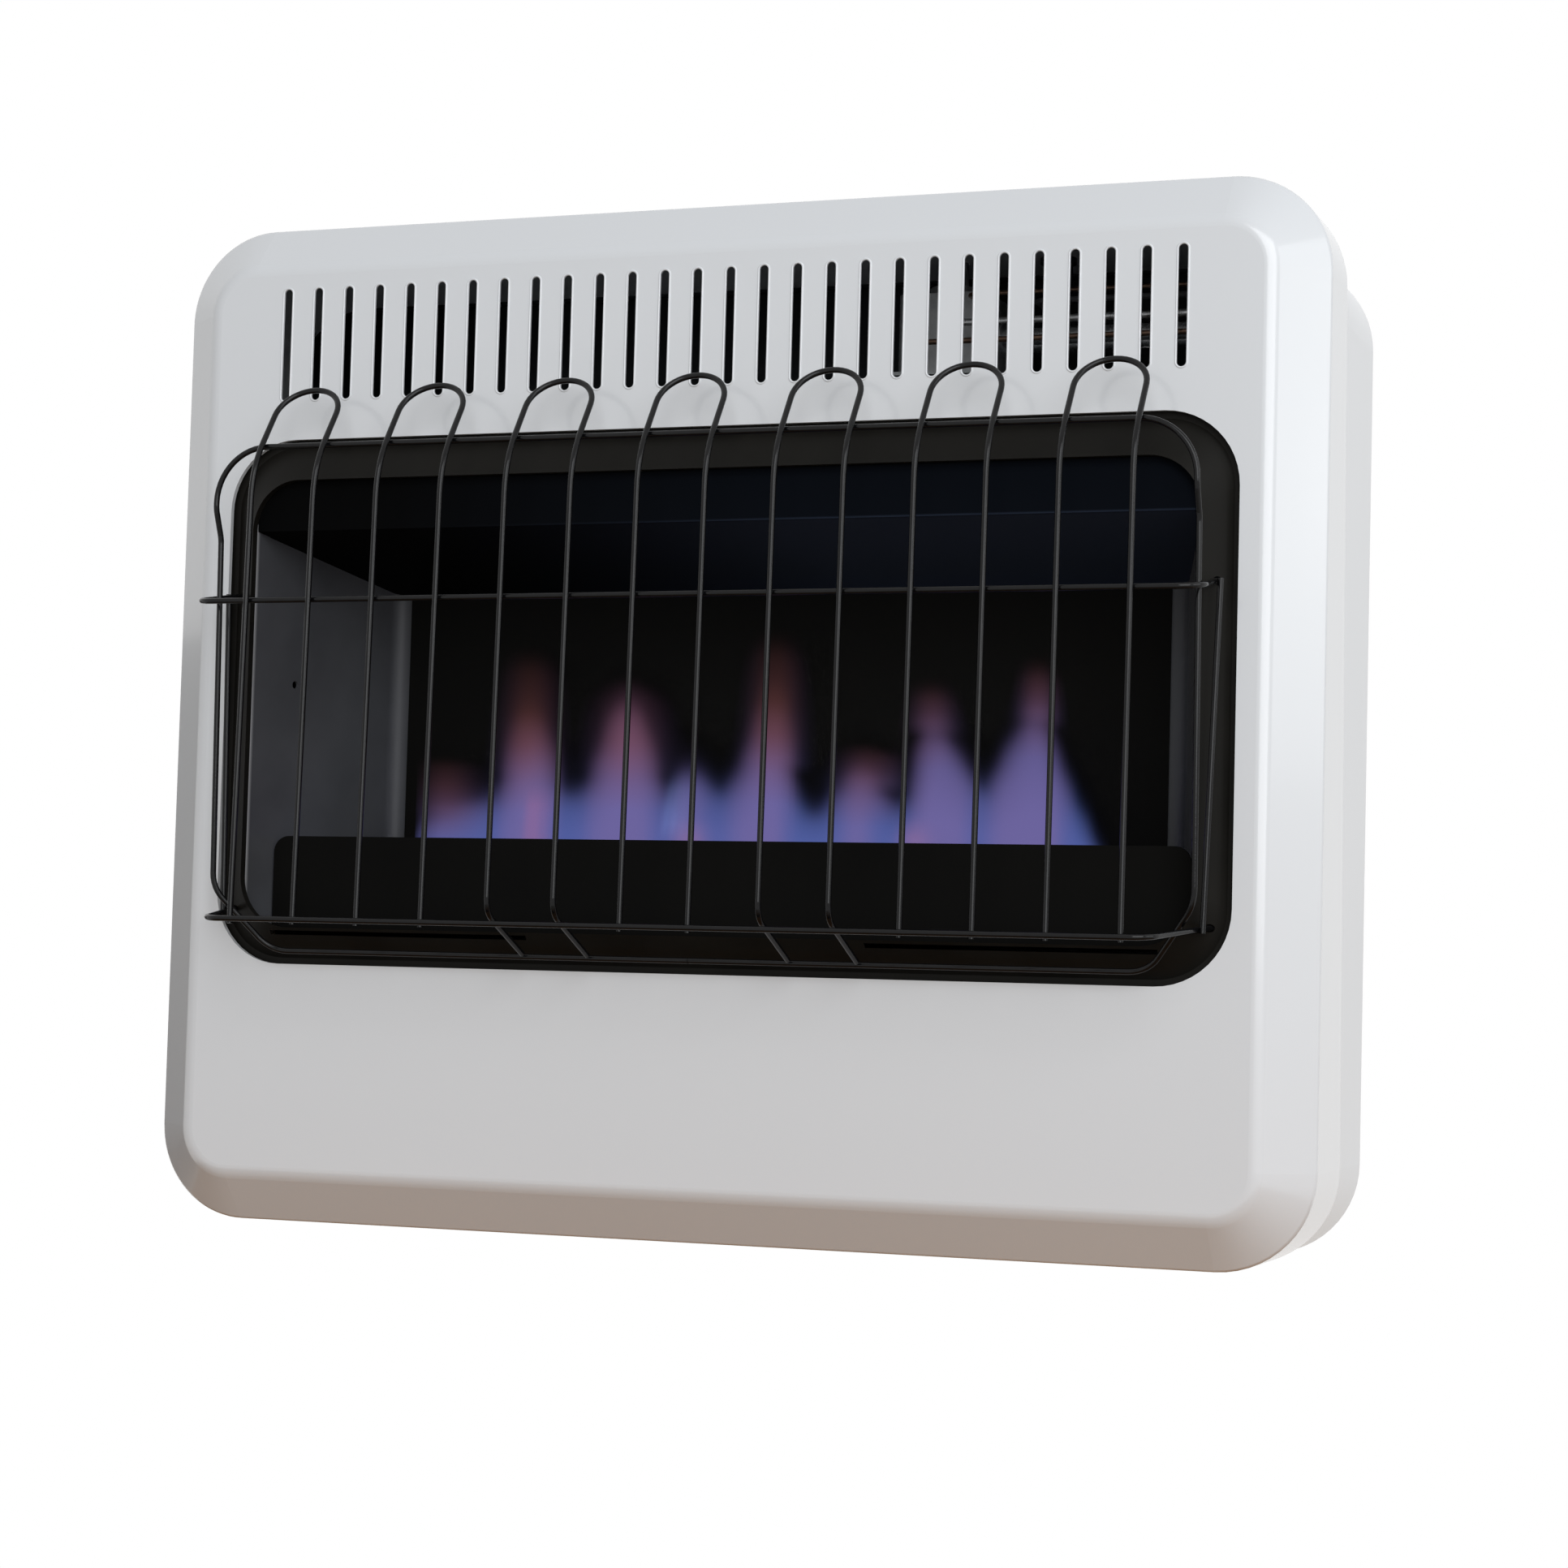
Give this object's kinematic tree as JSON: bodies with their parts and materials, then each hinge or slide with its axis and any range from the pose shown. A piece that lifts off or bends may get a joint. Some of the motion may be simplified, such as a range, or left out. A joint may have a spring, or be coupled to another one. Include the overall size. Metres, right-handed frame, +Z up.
{
  "type": "ventless gas heater",
  "caption": "Wall-hung ventless gas heater: white enamelled cover with air slots, black firebox with a blue-flame burner behind a wire guard, push-and-turn control and spark button on top.",
  "frame": {"origin": "on the wall plane, in the middle of the four wall-screw holes of the back panel", "axes": "+X to the viewer's right when facing the heater, +Y back into the wall, +Z up"},
  "size_m": [0.665, 0.215, 0.5682],
  "materials": {
    "white_enamel": "gloss powder coat",
    "black_enamel": "satin heat-proof black",
    "guard_wire": "satin black coated wire",
    "galvanised_sheet": "spangled galvanised",
    "satin_sheet": "satin aluminised sheet",
    "burner_steel": "heat-tinted stainless",
    "cast_alloy": "cast, matt",
    "gas_tube": "drawn, bright",
    "brass_fitting": "turned",
    "bright_steel": "zinc plated",
    "black_plastic": "moulded",
    "ceramic": "glazed ceramic",
    "lead_sleeve": "silicone sleeve"
  },
  "bodies": {
    "heater": {"front_cover": "white_enamel", "casing": "white_enamel", "firebox_bezel": "black_enamel", "burner_shield": "black_enamel", "heat_deflector": "black_enamel", "firebox_back": "black_enamel", "guard_frame": "guard_wire", "guard_hairpins": "guard_wire", "guard_mid_bar": "guard_wire", "guard_lower_bar": "guard_wire", "guard_side_stays": "guard_wire", "back_panel": "galvanised_sheet", "firebox_brackets": "galvanised_sheet", "upper_baffle": "galvanised_sheet", "control_bracket": "galvanised_sheet", "firebox_floor": "galvanised_sheet", "burner_brackets": "galvanised_sheet", "pilot_bracket": "galvanised_sheet", "bulb_clips": "galvanised_sheet", "firebox_side_left": "satin_sheet", "firebox_side_right": "satin_sheet", "burner_tube": "burner_steel", "pilot_burner": "burner_steel", "gas_valve": "cast_alloy", "pressure_regulator": "cast_alloy", "supply_tube": "gas_tube", "burner_gas_tube": "gas_tube", "pilot_gas_tube": "gas_tube", "orifice_fitting": "brass_fitting", "thermostat_bulb": "brass_fitting", "thermocouple": "brass_fitting", "thermocouple_lead": "brass_fitting", "cover_screws": "bright_steel", "bezel_screws": "bright_steel", "igniter_body": "black_plastic", "spark_electrode": "ceramic", "igniter_lead": "lead_sleeve"},
    "spindle": {"valve_spindle": "bright_steel"},
    "knob": {"control_knob": "black_plastic"},
    "button": {"igniter_button": "black_plastic"}
  },
  "joints": [
    {"name": "knob_push", "type": "slide", "parent": "heater", "child": "spindle", "axis": [0, 0, -1], "range_m": [0, 0.004], "stiffness_N_per_m": 1500, "springref_m": -0.002},
    {"name": "knob_turn", "type": "hinge", "parent": "spindle", "child": "knob", "pos_m": [0.105, -0.05, 0.27], "axis": [0, 0, 1], "range_deg": [0, 260]},
    {"name": "button_push", "type": "slide", "parent": "heater", "child": "button", "axis": [0, 0, -1], "range_m": [0, 0.005], "stiffness_N_per_m": 900, "springref_m": -0.002}
  ]
}
